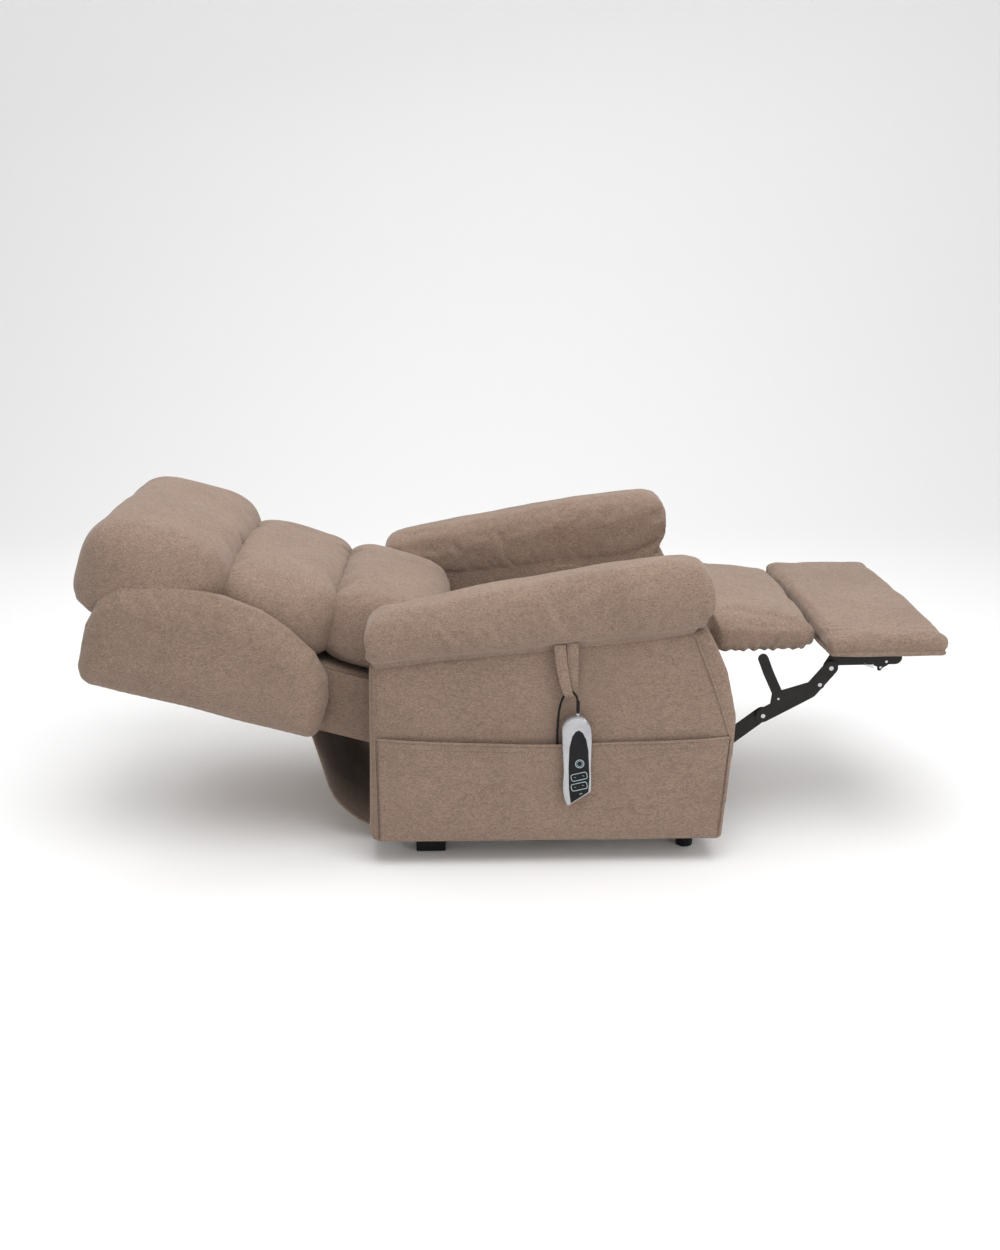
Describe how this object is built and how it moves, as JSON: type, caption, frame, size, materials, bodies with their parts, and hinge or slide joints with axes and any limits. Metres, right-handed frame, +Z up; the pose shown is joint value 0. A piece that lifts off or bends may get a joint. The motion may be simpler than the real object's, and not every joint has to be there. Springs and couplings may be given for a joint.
{
  "type": "lift recliner chair",
  "caption": "powered lift recliner armchair, stored fully reclined: bolstered back with side wings, roll arms with side pockets, link-borne footrest, tilting lift base, corded handset",
  "frame": {"origin": "on the floor, under the middle of the chair's bounding box", "axes": "+X is the way the chair faces, towards the footrest; +Y is the occupant's left; +Z is up"},
  "size_m": [1.857, 0.796, 0.738],
  "materials": {
    "upholstery": "brushed chenille with a soft nap",
    "frame_steel": "satin black powder coat",
    "pin_steel": "ground steel",
    "black_plastic": "fine-grained moulding",
    "silver_plastic": "silver-painted moulding",
    "cord_jacket": "smooth flexible jacket",
    "plywood": "raw birch plywood"
  },
  "bodies": {
    "base": {"base_rail_right": "frame_steel", "base_rail_left": "frame_steel", "base_cross_front": "frame_steel", "base_cross_middle": "frame_steel", "base_cross_rear": "frame_steel", "lift_pivot_shaft": "pin_steel", "lift_motor": "black_plastic", "foot_front_right": "black_plastic", "foot_front_left": "black_plastic", "foot_rear_right": "black_plastic", "foot_rear_left": "black_plastic"},
    "lift_arms": {"lift_arm_right": "frame_steel", "lift_arm_left": "frame_steel", "lift_crank_tube": "frame_steel"},
    "lift_rod": {"lift_rod": "pin_steel"},
    "carriage": {"side_panel_right": "upholstery", "side_panel_left": "upholstery", "arm_pad_right": "upholstery", "arm_pad_left": "upholstery", "pocket_right": "upholstery", "pocket_left": "upholstery", "seat_rail_right": "frame_steel", "seat_rail_left": "frame_steel", "hinge_ear_right": "frame_steel", "hinge_ear_left": "frame_steel", "seat_cross_front": "frame_steel", "seat_cross_rear": "frame_steel", "carriage_shaft": "pin_steel", "seat_deck": "plywood", "seat_cushion": "upholstery", "control_box": "black_plastic", "footrest_motor": "black_plastic", "handset_shell": "silver_plastic", "handset_face": "black_plastic", "handset_strap": "upholstery", "handset_cord": "cord_jacket", "cord_gland": "silver_plastic"},
    "footrest_rod": {"footrest_rod": "pin_steel"},
    "backrest": {"back_shell": "upholstery", "bolster_head": "upholstery", "bolster_middle": "upholstery", "bolster_lumbar": "upholstery", "wing_right": "upholstery", "wing_left": "upholstery", "back_bracket_right": "frame_steel", "back_bracket_left": "frame_steel", "rear_skirt": "upholstery"},
    "calf_rest": {"calf_pad": "upholstery"},
    "rear_links": {"rear_link_right": "frame_steel", "rear_link_left": "frame_steel", "footrest_crank_tube": "frame_steel"},
    "front_links": {"front_link_right": "frame_steel", "front_link_left": "frame_steel"},
    "footrest": {"footboard": "upholstery", "board_bracket_right": "frame_steel", "board_bracket_left": "frame_steel"},
    "power_button": {"button_power": "black_plastic"},
    "back_rocker": {"rocker_back": "black_plastic"},
    "lift_rocker": {"rocker_lift": "black_plastic"}
  },
  "joints": [
    {"name": "lift", "type": "hinge", "parent": "base", "child": "lift_arms", "pos_m": [-0.16, 0, 0.1], "axis": [0, -1, 0], "range_deg": [0, 35]},
    {"name": "lift_tilt", "type": "hinge", "parent": "lift_arms", "child": "carriage", "pos_m": [0.24, 0, 0.1], "axis": [0, 1, 0], "range_deg": [0, 60]},
    {"name": "lift_rod_slide", "type": "slide", "parent": "base", "child": "lift_rod", "axis": [-0.7606, 0, 0.6492], "range_m": [0, 0.1137]},
    {"name": "recline", "type": "hinge", "parent": "carriage", "child": "backrest", "pos_m": [-0.14, 0, 0.4], "axis": [0, 1, 0], "range_deg": [0, 60], "deforming": ["rear_skirt"]},
    {"name": "footrest_fold", "type": "hinge", "parent": "carriage", "child": "calf_rest", "pos_m": [0.425, 0, 0.44], "axis": [0, 1, 0], "range_deg": [0, 88]},
    {"name": "rear_link_swing", "type": "hinge", "parent": "carriage", "child": "rear_links", "pos_m": [0.36, 0, 0.341], "axis": [0, 1, 0], "range_deg": [0, 29.63]},
    {"name": "front_link_swing", "type": "hinge", "parent": "rear_links", "child": "front_links", "pos_m": [0.548, 0, 0.3], "axis": [0, -1, 0], "range_deg": [0, 84.34]},
    {"name": "footboard_tilt", "type": "hinge", "parent": "front_links", "child": "footrest", "pos_m": [0.69, 0, 0.41], "axis": [0, 1, 0], "range_deg": [0, 142.72]},
    {"name": "footrest_rod_slide", "type": "slide", "parent": "carriage", "child": "footrest_rod", "axis": [-1, 0, 0], "range_m": [0, 0.0513]},
    {"name": "power_button_press", "type": "slide", "parent": "carriage", "child": "power_button", "axis": [0, 1, 0], "range_m": [0, 0.0008], "stiffness_N_per_m": 600},
    {"name": "back_rocker_tilt", "type": "hinge", "parent": "carriage", "child": "back_rocker", "pos_m": [0.133, -0.3925, 0.2235], "axis": [0, 0, 1], "range_deg": [-2.5, 2.5], "stiffness_Nm_per_rad": 0.06},
    {"name": "lift_rocker_tilt", "type": "hinge", "parent": "carriage", "child": "lift_rocker", "pos_m": [0.1335, -0.3925, 0.201], "axis": [0, 0, 1], "range_deg": [-2.5, 2.5], "stiffness_Nm_per_rad": 0.06}
  ],
  "couplings": [
    {"joint": "lift_tilt", "follows": "lift", "ratio": 1.7143},
    {"joint": "lift_rod_slide", "follows": "lift", "m_per_rad": 0.18576},
    {"joint": "rear_link_swing", "follows": "footrest_fold", "ratio": 0.33664},
    {"joint": "front_link_swing", "follows": "footrest_fold", "ratio": 0.95833},
    {"joint": "footboard_tilt", "follows": "footrest_fold", "ratio": 1.6217},
    {"joint": "footrest_rod_slide", "follows": "footrest_fold", "m_per_rad": 0.03327}
  ]
}
